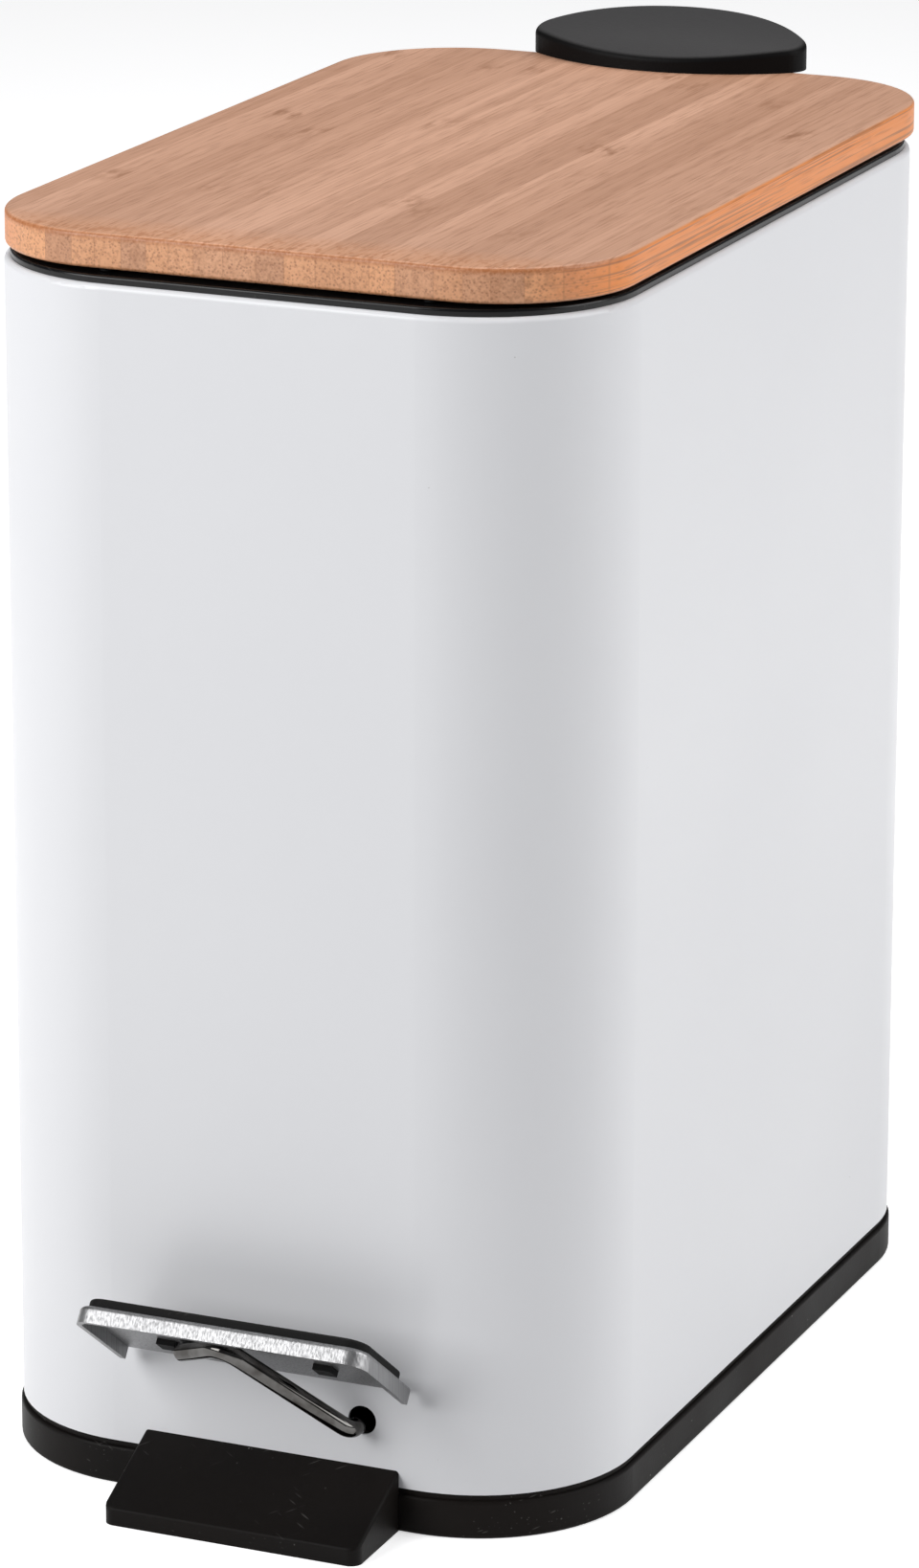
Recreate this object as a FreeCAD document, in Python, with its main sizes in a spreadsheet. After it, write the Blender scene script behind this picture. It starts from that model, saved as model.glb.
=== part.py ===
import FreeCAD, Part
import Sketcher
import math
import os

# Slim pedal bin: steel sleeve on a plastic base, lift-out bucket, bamboo lid.
# The pedal sits on a bent wire that turns about its own long run. The wire's
# rear arm pulls a link down behind the body, and the link opens the lid.
# Frame: X to the right, Y to the back, Z up, origin on the floor under the body.

doc = FreeCAD.newDocument("pedal_bin")
sheet = doc.addObject("Spreadsheet::Sheet", "dim")

# Driving sizes, in millimetres and degrees
DRIVING = [
    # sleeve
    ("body_width", 140.0), ("body_depth", 225.2), ("body_corner", 35.0),
    ("body_bottom", 9.8), ("body_top", 262.2), ("wall", 0.7),
    ("flange_width", 7.0), ("edge_round", 1.2), ("edge_round_inside", 0.6),
    ("rod_hole", 6.4), ("rod_hole_aside", 0.4), ("rod_hole_rise", 0.6),
    # base
    ("base_proud", 0.5), ("base_step", 8.5), ("neck_inset", 0.4), ("base_floor", 3.0),
    ("base_edge_round", 0.8), ("spigot_top", 21.0), ("spigot_wall", 2.5), ("push_fit", 0.1),
    ("ramp_width", 59.0), ("ramp_reach", 21.5), ("ramp_top", 13.5), ("ramp_lip", 3.8),
    ("ramp_corner", 2.5), ("ramp_edge", 0.8), ("pedal_offset", 2.0),
    # rod and its bearings
    ("rod_diameter", 4.0), ("rod_x", 22.7), ("rod_height", 23.1), ("rod_overhang", 5.0),
    ("rear_arm", 32.0), ("rear_arm_rise", 8.8), ("rear_arm_gap", 6.4), ("rear_pin", 8.6),
    ("rod_bend", 4.0), ("apex_bend", 4.5), ("running_fit", 0.05),
    ("bearing_inset", 24.0), ("bearing_width", 24.0), ("bearing_length", 7.0),
    ("keeper_height", 4.6), ("keeper_screw_pitch", 16.0),
    ("screw_diameter", 3.0), ("screw_head", 5.6), ("screw_head_height", 1.8),
    ("screw_bite", 7.0), ("screw_fit", 0.1),
    ("recess_share", 0.62), ("recess_width", 0.8), ("recess_depth", 0.7),
    # pedal
    ("plate_width", 66.4), ("plate_length", 29.0), ("plate_thickness", 1.2),
    ("plate_flange", 2.7), ("plate_corner", 4.5), ("plate_edge", 1.1), ("plate_angle", 36.0),
    ("plate_gap", 2.6), ("plate_height", 32.8),
    ("pad_thickness", 2.0), ("pad_margin", 1.2), ("pad_edge", 0.7),
    ("tread_grooves", 6), ("tread_width", 1.4), ("tread_depth", 0.6), ("tread_margin", 4.5),
    ("plug_size", 4.2), ("plug_spacing", 36.0), ("plug_inset", 11.0), ("plug_reach", 1.3),
    ("apex_x", -0.8), ("apex_length", 23.0), ("tip_x", -14.0), ("tip_length", 12.6),
    ("seat_gap", 0.05),
    # rim and bucket
    ("rim_height", 1.6), ("rim_inner", 9.5), ("rim_lip_depth", 7.0), ("rim_round", 0.6),
    ("bucket_inset", 11.2), ("bucket_wall", 1.5), ("bucket_bottom", 36.0),
    ("bucket_taper", 1.0), ("bucket_corner", 22.0), ("bucket_foot_round", 6.0),
    ("bucket_flange", 2.5), ("bucket_flange_height", 0.5),
    ("scoop_radius", 34.0), ("scoop_depth", 9.0),
    # lid
    ("lid_side_inset", 0.65), ("lid_front_inset", 3.5), ("lid_back_inset", 0.5), ("lid_corner", 29.4),
    ("lid_gap", 2.4), ("lid_thickness", 7.4), ("lid_arris", 0.9),
    ("liner_margin", 4.0), ("liner_corner", 18.0), ("liner_height", 2.0), ("liner_edge", 0.8),
    ("liner_screw_side", 13.3), ("liner_screw_end", 17.9), ("lid_screw", 2.6), ("lid_screw_bite", 4.2),
    ("lid_screw_head", 4.8), ("lid_screw_head_height", 1.2),
    ("bumper_diameter", 3.0), ("bumper_height", 0.6), ("bumper_side", 34.0), ("bumper_inset", 6.1),
    # hinge cap
    ("cap_half_width", 35.3), ("cap_tip_back", 2.5), ("cap_front", 15.1), ("cap_back", 18.2),
    ("cap_front_height", 3.2), ("crown_height", 9.6), ("crown_back", 13.4), ("crown_sweep", 230.0),
    ("cap_tip_round", 6.0), ("cap_edge", 1.6),
    ("cap_wall", 2.2), ("cap_screw_x", 16.0), ("cap_screw_inset", 4.1), ("cap_boss", 6.5),
    ("cap_screw_bite", 2.6), ("cap_head_depth", 2.2),
    # hinge and link
    ("axis_back", 8.9), ("axis_rise", 0.8), ("pin_diameter", 4.0), ("pin_head", 7.0),
    ("pin_head_height", 1.4), ("lug_inside", 3.2), ("lug_thickness", 4.4), ("lug_radius", 5.0),
    ("lug_front", 4.4), ("ear_gap", 0.5), ("ear_thickness", 3.0), ("ear_radius", 6.0),
    ("bracket_plate", 2.0), ("bracket_half_width", 22.0), ("bracket_height", 24.0),
    ("bracket_screw_x", 18.0), ("bracket_screw_margin", 4.5), ("bracket_drop", 7.6),
    ("clip_diameter", 7.6), ("clip_height", 0.9),
    ("tail_angle", 40.0), ("tail_pin", 2.5), ("tail_eye", 3.0),
    ("link_thickness", 5.2), ("link_stem", 4.0), ("link_clearance", 0.5), ("slot_play", 0.4),
    ("link_eye_wall", 1.0), ("link_foot_margin", 2.5),
    # rear spine
    ("spine_half_width", 30.5), ("spine_depth", 18.6), ("spine_corner", 12.0), ("spine_wall", 2.0),
    ("spine_drop", 15.2), ("spine_edge", 1.5), ("spine_boss", 7.0),
    ("spine_screw_x", 16.0), ("spine_screw_margin", 30.0),
    ("overrun", 1.0),
]

# Places that follow from the driving sizes
DERIVED = [
    ("wall_right", "=body_width / 2"), ("wall_back", "=body_depth / 2"),
    ("wall_front", "=-wall_back"), ("wall_left", "=-wall_right"),
    ("lid_bottom", "=body_top + lid_gap"), ("lid_top", "=lid_bottom + lid_thickness"),
    ("lid_right", "=wall_right - lid_side_inset"),
    ("lid_front", "=wall_front + lid_front_inset"), ("lid_back", "=wall_back - lid_back_inset"),
    ("rod_radius", "=rod_diameter / 2"),
    ("spigot_inset", "=wall + push_fit"),
    ("rim_inset", "=edge_round"), ("rim_bottom", "=body_top"), ("rim_top", "=body_top + rim_height"),
    ("ramp_front", "=wall_front - ramp_reach"),
    ("bearing_front", "=wall_front + bearing_inset"), ("bearing_back", "=wall_back - bearing_inset"),
    ("keeper_top", "=rod_height + keeper_height"),
    ("axis_y", "=wall_back + axis_back"), ("axis_height", "=body_top + axis_rise"),
    ("rear_arm_y", "=wall_back + rear_arm_gap"),
    ("lug_outside", "=lug_inside + lug_thickness"),
    ("tail_radius", "=rear_arm * sin(rear_arm_rise * 1 deg) / sin(tail_angle * 1 deg)"),
    ("ear_inside", "=lug_outside + ear_gap"), ("ear_outside", "=ear_inside + ear_thickness"),
    ("tail_y", "=axis_y + tail_radius * cos(tail_angle * 1 deg)"),
    ("tail_z", "=axis_height + tail_radius * sin(tail_angle * 1 deg)"),
    ("tail_far", "=axis_y + tail_radius"),
    ("arm_end_x", "=rod_x - rear_arm * cos(rear_arm_rise * 1 deg)"),
    ("arm_end_z", "=rod_height + rear_arm * sin(rear_arm_rise * 1 deg)"),
    ("arm_far_x", "=rod_x - rear_arm"),
    ("cap_tip_y", "=lid_back + cap_tip_back"), ("cap_screw_y", "=lid_back - cap_screw_inset"),
    ("cap_front_y", "=cap_tip_y - cap_front"), ("cap_back_y", "=cap_tip_y + cap_back"),
    ("cap_front_radius", "=(cap_half_width ^ 2 + cap_front ^ 2) / (2 * cap_front)"),
    ("cap_back_radius", "=(cap_half_width ^ 2 + cap_back ^ 2) / (2 * cap_back)"),
    ("crown_y", "=cap_tip_y + crown_back"), ("crown_top", "=lid_top + crown_height"),
    ("crown_rise", "=crown_height - cap_front_height"),
    ("crown_radius", "=((crown_y - cap_front_y) ^ 2 + crown_rise ^ 2) / (2 * crown_rise)"),
    ("spine_back", "=wall_back + spine_depth"),
    ("spine_bottom", "=body_bottom"), ("spine_top", "=body_top - spine_drop"),
    ("bucket_top", "=rim_top + bucket_flange_height"),
    ("liner_right", "=body_width / 2 - bucket_inset - bucket_wall - liner_margin"),
    ("liner_back", "=body_depth / 2 - bucket_inset - bucket_wall - liner_margin"),
    ("liner_screw_x", "=liner_right - liner_screw_side"), ("liner_screw_y", "=liner_back - liner_screw_end"),
]

# Places closer than this count as the same when edges are picked
MATCH = 1e-4
# An edge is upright when it rises by more than this share of its length
UPRIGHT_SHARE = 0.5

for row, (alias, content) in enumerate(DRIVING + DERIVED, start=1):
    sheet.set(f"A{row}", alias)
    sheet.set(f"B{row}", str(content))
    sheet.setAlias(f"B{row}", alias)
doc.recompute()


def size(alias):
    """The number that a named cell holds."""
    return float(sheet.get(alias))


def bind(thing, prop, formula):
    """Tie a property to the sheet; formula names cells as dim.alias."""
    thing.setExpression(prop, formula)


def label(thing, name):
    thing.Label = name
    return thing


# Solids that several pieces share

def block(name, x, y, z):
    """Box between bound planes; each argument is a (low, high) pair of formulas."""
    box = doc.addObject("Part::Box", name)
    for prop, axis, (low, high) in (("Length", "x", x), ("Width", "y", y), ("Height", "z", z)):
        bind(box, prop, f"({high}) - ({low})")
        bind(box, f"Placement.Base.{axis}", low)
    return box


TURN_TO_AXIS = {
    "x": FreeCAD.Rotation(FreeCAD.Vector(0, 1, 0), 90),
    "y": FreeCAD.Rotation(FreeCAD.Vector(1, 0, 0), -90),
    "z": FreeCAD.Rotation(),
}


def rod(name, axis, diameter, start, end, centre):
    """Cylinder along an axis, from start to end; centre gives the other two places in order."""
    cylinder = doc.addObject("Part::Cylinder", name)
    cylinder.Placement = FreeCAD.Placement(FreeCAD.Vector(), TURN_TO_AXIS[axis])
    bind(cylinder, "Radius", f"({diameter}) / 2")
    bind(cylinder, "Height", f"({end}) - ({start})")
    bind(cylinder, f"Placement.Base.{axis}", start)
    for other, place in zip([a for a in "xyz" if a != axis], centre):
        bind(cylinder, f"Placement.Base.{other}", place)
    return cylinder


def origin_plane(body, role):
    return next(f for f in body.Origin.OriginFeatures if f.Role == role)


def outline(body, name, role, points):
    """Closed polygon sketch whose corners are (across, up) pairs of formulas."""
    sketch = body.newObject("Sketcher::SketchObject", name)
    sketch.AttachmentSupport = [(origin_plane(body, role), "")]
    sketch.MapMode = "FlatFace"
    count = len(points)
    rough = [FreeCAD.Vector(math.cos(2 * math.pi * i / count), math.sin(2 * math.pi * i / count), 0)
             for i in range(count)]
    for i in range(count):
        sketch.addGeometry(Part.LineSegment(rough[i], rough[(i + 1) % count]))
    for i in range(count):
        sketch.addConstraint(Sketcher.Constraint("Coincident", i, 2, (i + 1) % count, 1))
    for i, (across, up) in enumerate(points):
        for kind, formula in (("DistanceX", across), ("DistanceY", up)):
            place = rough[i].x if kind == "DistanceX" else rough[i].y
            index = sketch.addConstraint(Sketcher.Constraint(kind, -1, 1, i, 1, place))
            bind(sketch, f"Constraints[{index}]", formula)
    return sketch


def edges_where(shape, wanted):
    return [f"Edge{i}" for i, edge in enumerate(shape.Edges, start=1) if wanted(edge)]


def is_upright(edge):
    return edge.BoundBox.ZMax - edge.BoundBox.ZMin > UPRIGHT_SHARE * edge.Length


def lies_at(height):
    def wanted(edge):
        box = edge.BoundBox
        return max(abs(box.ZMin - height), abs(box.ZMax - height)) < MATCH
    return wanted


def round_edges(body, name, base, wanted, radius):
    """PartDesign fillet on the chosen edges of a feature."""
    doc.recompute()
    fillet = body.newObject("PartDesign::Fillet", name)
    fillet.Base = (base, edges_where(base.Shape, wanted))
    bind(fillet, "Radius", radius)
    return fillet


def slab(name, x, y, z, corner, taper=None, top_round=None, foot_round=None):
    """Upright slab with round corners, as a body: rectangle, pad and fillets.

    A tapered slab has its outline at the top and draws in downwards.
    """
    body = doc.addObject("PartDesign::Body", name)
    corners = [(x[0], y[0]), (x[1], y[0]), (x[1], y[1]), (x[0], y[1])]
    sketch = outline(body, f"{name}_outline", "XY_Plane", corners)
    bind(sketch, "AttachmentOffset.Base.z", z[1] if taper else z[0])
    pad = body.newObject("PartDesign::Pad", f"{name}_pad")
    pad.Profile = sketch
    bind(pad, "Length", f"({z[1]}) - ({z[0]})")
    if taper:
        pad.Reversed = True
        bind(pad, "TaperAngle", f"-{taper}")
    last = round_edges(body, f"{name}_corners", pad, is_upright, corner)
    for kind, radius in (("top", top_round), ("foot", foot_round)):
        if radius:
            doc.recompute()
            heights = [corner_point.Z for corner_point in last.Shape.Vertexes]
            height = max(heights) if kind == "top" else min(heights)
            last = round_edges(body, f"{name}_{kind}_round", last, lies_at(height), radius)
    body.Tip = last
    return body


def inset_slab(name, inset, z, **rounds):
    """Slab that follows the sleeve's outline, a formula's distance inside it."""
    return slab(name, (f"dim.wall_left + ({inset})", f"dim.wall_right - ({inset})"),
                (f"dim.wall_front + ({inset})", f"dim.wall_back - ({inset})"), z,
                f"dim.body_corner - ({inset})", **rounds)


def profile_pad(name, role, points, low, high):
    """Polygon pushed along the normal of an origin plane, from low to high."""
    body = doc.addObject("PartDesign::Body", name)
    sketch = outline(body, f"{name}_profile", role, points)
    bind(sketch, "AttachmentOffset.Base.z", low)
    pad = body.newObject("PartDesign::Pad", f"{name}_pad")
    pad.Profile = sketch
    bind(pad, "Length", f"({high}) - ({low})")
    body.Tip = pad
    return body


def fuse(name, pieces):
    union = doc.addObject("Part::MultiFuse", name)
    union.Shapes = pieces
    union.Refine = True
    return union


def cut(name, base, tools):
    tool = tools[0] if len(tools) == 1 else fuse(f"{name}_tools", tools)
    result = doc.addObject("Part::Cut", name)
    result.Base = base
    result.Tool = tool
    result.Refine = True
    return result


def common(name, pieces):
    shared = doc.addObject("Part::MultiCommon", name)
    shared.Shapes = pieces
    return shared


def group(name, pieces):
    bundle = doc.addObject("Part::Compound", name)
    bundle.Links = pieces
    return label(bundle, name)


def part_fillet(name, base, wanted, radius):
    """Part fillet on the chosen edges; the radius is read from the sheet."""
    doc.recompute()
    fillet = doc.addObject("Part::Fillet", name)
    fillet.Base = base
    picked = [i for i, edge in enumerate(base.Shape.Edges, start=1) if wanted(edge)]
    fillet.Edges = [(i, size(radius), size(radius)) for i in picked]
    return fillet


def screw(name, axis, seat, direction, bite, centre, thread, head, head_height):
    """Screw with a cross recess: seat is the face under its head, direction points to its tip."""
    tip = f"({seat}) + ({direction}) * ({bite})"
    top = f"({seat}) - ({direction}) * ({head_height})"
    ends = (seat, tip) if direction > 0 else (tip, seat)
    cap = (top, seat) if direction > 0 else (seat, top)
    shank = rod(f"{name}_shank", axis, thread, *ends, centre)
    crown = rod(f"{name}_head", axis, head, *cap, centre)
    solid = fuse(f"{name}_solid", [shank, crown])
    floor = f"({top}) + ({direction}) * dim.recess_depth"
    depth = (top, floor) if direction > 0 else (floor, top)
    return cut(name, solid, cross_recess(name, axis, depth, centre, head))


def cross_recess(name, axis, depth, centre, head):
    """Two crossing slots in a screw's head, each a block."""
    others = [letter for letter in "xyz" if letter != axis]
    slots = []
    for long_way in others:
        spans = {axis: depth}
        for letter, place in zip(others, centre):
            reach = f"({head}) * dim.recess_share / 2" if letter == long_way else "dim.recess_width / 2"
            spans[letter] = (f"({place}) - {reach}", f"({place}) + {reach}")
        slots.append(block(f"{name}_slot_{long_way}", spans["x"], spans["y"], spans["z"]))
    return slots


# Base: floor tray, step, spigot, foot under the pedal and the rod's two bearings

def make_base():
    tray = slab("base_tray", ("dim.wall_left - dim.base_proud", "dim.wall_right + dim.base_proud"),
                ("dim.wall_front - dim.base_proud", "dim.wall_back + dim.base_proud"),
                ("0", "dim.base_step"), "dim.body_corner + dim.base_proud",
                top_round="dim.base_edge_round", foot_round="dim.base_edge_round")
    neck = inset_slab("base_neck", "dim.neck_inset", ("dim.base_floor", "dim.body_bottom"))
    spigot = inset_slab("base_spigot", "dim.spigot_inset", ("dim.base_floor", "dim.spigot_top"))
    well = inset_slab("base_well", "dim.spigot_inset + dim.spigot_wall",
                      ("dim.base_floor", "dim.spigot_top + dim.overrun"))
    shell = cut("base_shell", fuse("base_outside", [tray, neck, spigot]), [well])
    bearings = [bearing_post(end) for end in ("front", "back")]
    posts = cut("base_posts", fuse("base_posts_outside", bearings), rod_clearance("base"))
    return label(fuse("base_piece", [shell, make_ramp(), posts]), "base")


def make_ramp():
    points = [("dim.ramp_front", "0"), ("dim.wall_front", "0"),
              ("dim.wall_front", "dim.ramp_top"), ("dim.ramp_front", "dim.ramp_lip")]
    half = "dim.ramp_width / 2"
    sides = (f"dim.pedal_offset - {half}", f"dim.pedal_offset + {half}")
    body = profile_pad("ramp", "YZ_Plane", points, *sides)
    front = size("ramp_front")

    def is_front_corner(edge):
        box = edge.BoundBox
        return is_upright(edge) and abs(box.YMax - front) < MATCH

    corners = round_edges(body, "ramp_corners", body.Tip, is_front_corner, "dim.ramp_corner")
    doc.recompute()
    wall = size("wall_front")

    def is_top_edge(edge):
        box = edge.BoundBox
        return box.ZMin > size("ramp_lip") - MATCH and box.YMin < wall - size("ramp_edge")

    body.Tip = round_edges(body, "ramp_edges", corners, is_top_edge, "dim.ramp_edge")
    return body


def bearing_span(end):
    return (f"dim.bearing_{end} - dim.bearing_length / 2", f"dim.bearing_{end} + dim.bearing_length / 2")


def bearing_post(end):
    half = "dim.bearing_width / 2"
    return block(f"bearing_{end}_post", (f"dim.rod_x - {half}", f"dim.rod_x + {half}"),
                 bearing_span(end), ("dim.base_floor", "dim.rod_height"))


def rod_clearance(owner):
    """Bore for the rod and holes for the keeper screws, through both bearings."""
    tools = [rod(f"{owner}_rod_bore", "y", "dim.rod_diameter + 2 * dim.running_fit",
                 "dim.wall_front", "dim.wall_back", ("dim.rod_x", "dim.rod_height"))]
    for end in ("front", "back"):
        for side, sign in (("left", "-"), ("right", "+")):
            tools.append(rod(f"{owner}_{end}_{side}_screw_hole", "z",
                             "dim.screw_diameter + 2 * dim.screw_fit",
                             "dim.keeper_top - dim.screw_bite - dim.overrun",
                             "dim.keeper_top + dim.overrun",
                             (f"dim.rod_x {sign} dim.keeper_screw_pitch / 2", f"dim.bearing_{end}")))
    return tools


def make_keepers():
    half = "dim.bearing_width / 2"
    caps = [block(f"keeper_{end}_block", (f"dim.rod_x - {half}", f"dim.rod_x + {half}"),
                  bearing_span(end), ("dim.rod_height", "dim.keeper_top")) for end in ("front", "back")]
    return label(cut("keepers_cut", fuse("keepers_outside", caps), rod_clearance("keeper")), "rod_keepers")


def make_keeper_screws():
    screws = []
    for end in ("front", "back"):
        for side, sign in (("left", "-"), ("right", "+")):
            screws.append(screw(f"keeper_screw_{end}_{side}", "z", "dim.keeper_top", -1, "dim.screw_bite",
                                (f"dim.rod_x {sign} dim.keeper_screw_pitch / 2", f"dim.bearing_{end}"),
                                "dim.screw_diameter", "dim.screw_head", "dim.screw_head_height"))
    return group("keeper_screws", screws)


# Sleeve: bent sheet with an inward flange at the top

def make_body_shell():
    outside = inset_slab("shell_outside", "0", ("dim.body_bottom", "dim.body_top"),
                         top_round="dim.edge_round")
    inside = inset_slab("shell_inside", "dim.wall",
                        ("dim.body_bottom - dim.overrun", "dim.body_top - dim.wall"),
                        top_round="dim.edge_round_inside")
    mouth = inset_slab("shell_mouth", "dim.flange_width",
                       ("dim.body_top - dim.edge_round - dim.overrun", "dim.body_top + dim.overrun"))
    tools = [inside, mouth]
    rod_place = ("dim.rod_x + dim.rod_hole_aside", "dim.rod_height + dim.rod_hole_rise")
    tools.append(rod("shell_rod_holes", "y", "dim.rod_hole", "dim.wall_front - dim.overrun",
                     "dim.wall_back + dim.overrun", rod_place))
    for name, x, z in rear_screw_places():
        tools.append(rod(f"shell_{name}_hole", "y", "dim.screw_diameter + 2 * dim.screw_fit",
                         "dim.wall_back - dim.wall - dim.overrun", "dim.wall_back + dim.overrun", (x, z)))
    return label(cut("shell_cut", outside, tools), "body_shell")


def spine_screw_places():
    low = "dim.spine_bottom + dim.spine_screw_margin"
    high = "dim.spine_top - dim.spine_screw_margin"
    return [(f"spine_{side}_{level}", f"{sign}dim.spine_screw_x", z)
            for side, sign in (("left", "-"), ("right", ""))
            for level, z in (("low", low), ("high", high))]


BRACKET_TOP = "dim.axis_height - dim.bracket_drop"
BRACKET_LOW = f"{BRACKET_TOP} - dim.bracket_height"


def bracket_screw_places():
    levels = (("low", f"{BRACKET_LOW} + dim.bracket_screw_margin"),
              ("high", f"{BRACKET_TOP} - dim.bracket_screw_margin"))
    return [(f"bracket_{side}_{level}", f"{sign}dim.bracket_screw_x", z)
            for side, sign in (("left", "-"), ("right", "")) for level, z in levels]


def rear_screw_places():
    return spine_screw_places() + bracket_screw_places()


def make_rear_screws(name, places, bite):
    inner_face = "dim.wall_back - dim.wall"
    return group(name, [screw(f"{place}_screw", "y", inner_face, 1, bite, (x, z),
                              "dim.screw_diameter", "dim.screw_head", "dim.screw_head_height")
                        for place, x, z in places])


# Rim ring and bucket

def make_top_rim():
    ring = inset_slab("rim_ring", "dim.rim_inset", ("dim.rim_bottom", "dim.rim_top"),
                      top_round="dim.rim_round")
    lip = inset_slab("rim_lip", "dim.flange_width + dim.push_fit",
                     ("dim.rim_bottom - dim.rim_lip_depth", "dim.rim_bottom"))
    opening = inset_slab("rim_opening", "dim.rim_inner",
                         ("dim.rim_bottom - dim.rim_lip_depth - dim.overrun", "dim.rim_top + dim.overrun"))
    return label(cut("rim_cut", fuse("rim_outside", [ring, lip]), [opening]), "top_rim")


def bucket_form(name, wall, bottom):
    """Tapered tub form, wall inside the bucket's outside, open towards the rim."""
    inset = f"dim.bucket_inset + ({wall})"
    return slab(name, (f"dim.wall_left + {inset}", f"dim.wall_right - ({inset})"),
                (f"dim.wall_front + {inset}", f"dim.wall_back - ({inset})"), (bottom, "dim.bucket_top"),
                f"dim.bucket_corner - ({wall})", taper="dim.bucket_taper",
                foot_round=f"dim.bucket_foot_round - ({wall})")


def make_inner_bucket():
    tub = bucket_form("bucket_outside", "0", "dim.bucket_bottom")
    flange = inset_slab("bucket_rim", "dim.bucket_inset - dim.bucket_flange",
                        ("dim.rim_top", "dim.bucket_top"))
    hollow = bucket_form("bucket_hollow", "dim.bucket_wall", "dim.bucket_bottom + dim.bucket_wall")
    scoop = rod("bucket_scoop", "x", "2 * dim.scoop_radius", "dim.wall_left", "dim.wall_right",
                ("0", "dim.bucket_top + dim.scoop_radius - dim.scoop_depth"))
    return label(cut("bucket_cut", fuse("bucket_solid", [tub, flange]), [hollow, scoop]), "inner_bucket")


# Pedal: bent rod, formed plate and rubber pad

def pedal_placement(thing):
    """Put a piece drawn flat, back edge at Y 0 and underside at Z 0, onto the pitched pedal."""
    turn = FreeCAD.Rotation(FreeCAD.Vector(1, 0, 0), -size("plate_angle"))
    thing.Placement = FreeCAD.Placement(FreeCAD.Vector(), turn)
    bind(thing, "Placement.Rotation.Angle", "-dim.plate_angle")
    bind(thing, "Placement.Base.x", "dim.pedal_offset")
    bind(thing, "Placement.Base.y", "dim.wall_front - dim.plate_gap")
    bind(thing, "Placement.Base.z", "dim.plate_height")
    return thing


def make_pedal_plate():
    half = "dim.plate_width / 2"
    outside = slab("plate_outside", (f"-{half}", half), ("-dim.plate_length", "dim.plate_corner"),
                   ("-dim.plate_flange", "dim.plate_thickness"), "dim.plate_corner",
                   top_round="dim.plate_edge")
    inside = slab("plate_inside", (f"-{half} + dim.plate_thickness", f"{half} - dim.plate_thickness"),
                  ("-dim.plate_length + dim.plate_thickness", "2 * dim.plate_corner"),
                  ("-dim.plate_flange - dim.overrun", "0"), "dim.plate_corner - dim.plate_thickness")
    behind = block("plate_behind", (f"-{half} - dim.overrun", f"{half} + dim.overrun"),
                   ("0", "2 * dim.plate_corner + dim.overrun"),
                   ("-dim.plate_flange - dim.overrun", "dim.plate_thickness + dim.overrun"))
    holes = plug_blocks("plate_hole", "dim.push_fit", "-dim.overrun", "dim.plate_thickness + dim.overrun")
    plate = cut("plate_cut", outside, [inside, behind] + holes)
    return label(pedal_placement(plate), "pedal_plate")


def plug_blocks(name, fit, low, high):
    half = f"dim.plug_size / 2 + {fit}"
    return [block(f"{name}_{side}",
                  (f"{sign}dim.plug_spacing / 2 - ({half})", f"{sign}dim.plug_spacing / 2 + {half}"),
                  (f"-dim.plug_inset - ({half})", f"-dim.plug_inset + {half}"), (low, high))
            for side, sign in (("left", "-"), ("right", ""))]


def make_pedal_pad():
    half = "dim.plate_width / 2 - dim.pad_margin"
    mat = slab("pad_mat", (f"-({half})", half), ("-dim.plate_length + dim.pad_margin", "-dim.pad_margin"),
               ("dim.plate_thickness", "dim.plate_thickness + dim.pad_thickness"), "dim.plate_corner",
               top_round="dim.pad_edge")
    plugs = plug_blocks("pad_plug", "0", "-dim.plug_reach", "dim.plate_thickness + dim.pad_thickness / 2")
    tread = cut("pad_tread", mat, tread_cuts())
    return label(pedal_placement(fuse("pad_solid", [tread] + plugs)), "pedal_pad")


def tread_cuts():
    """Grooves along the pad, evenly spaced between its front and back margins."""
    half = "dim.plate_width / 2 - dim.tread_margin"
    top = "dim.plate_thickness + dim.pad_thickness"
    grooves = []
    for i in range(int(size("tread_grooves"))):
        share = f"{i} / (dim.tread_grooves - 1)"
        middle = f"-dim.tread_margin - {share} * (dim.plate_length - 2 * dim.tread_margin)"
        grooves.append(block(f"tread_{i}", (f"-({half})", half),
                             (f"{middle} - dim.tread_width / 2", f"{middle} + dim.tread_width / 2"),
                             (f"{top} - dim.tread_depth", f"{top} + dim.overrun")))
    return grooves


def on_pedal(across, along, height):
    """Point given on the flat pedal, moved to its pitched place."""
    turn = FreeCAD.Rotation(FreeCAD.Vector(1, 0, 0), -size("plate_angle"))
    base = FreeCAD.Vector(size("pedal_offset"), size("wall_front") - size("plate_gap"), size("plate_height"))
    return base + turn.multVec(FreeCAD.Vector(across, along, height))


def bent_path(points, radii):
    """Straight runs joined by tangent arcs; radii are those of the inner corners."""
    edges = []
    start = points[0]
    for before, corner, after, radius in zip(points, points[1:], points[2:], radii):
        inward = (before - corner).normalize()
        outward = (after - corner).normalize()
        half_turn = inward.getAngle(outward) / 2
        reach = radius / math.tan(half_turn)
        centre_way = (inward + outward).normalize()
        middle = corner + centre_way * (radius / math.sin(half_turn) - radius)
        first = corner + inward * reach
        last = corner + outward * reach
        edges.append(Part.LineSegment(start, first).toShape())
        edges.append(Part.Arc(first, middle, last).toShape())
        start = last
    edges.append(Part.LineSegment(start, points[-1]).toShape())
    return Part.Wire(edges)


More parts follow.
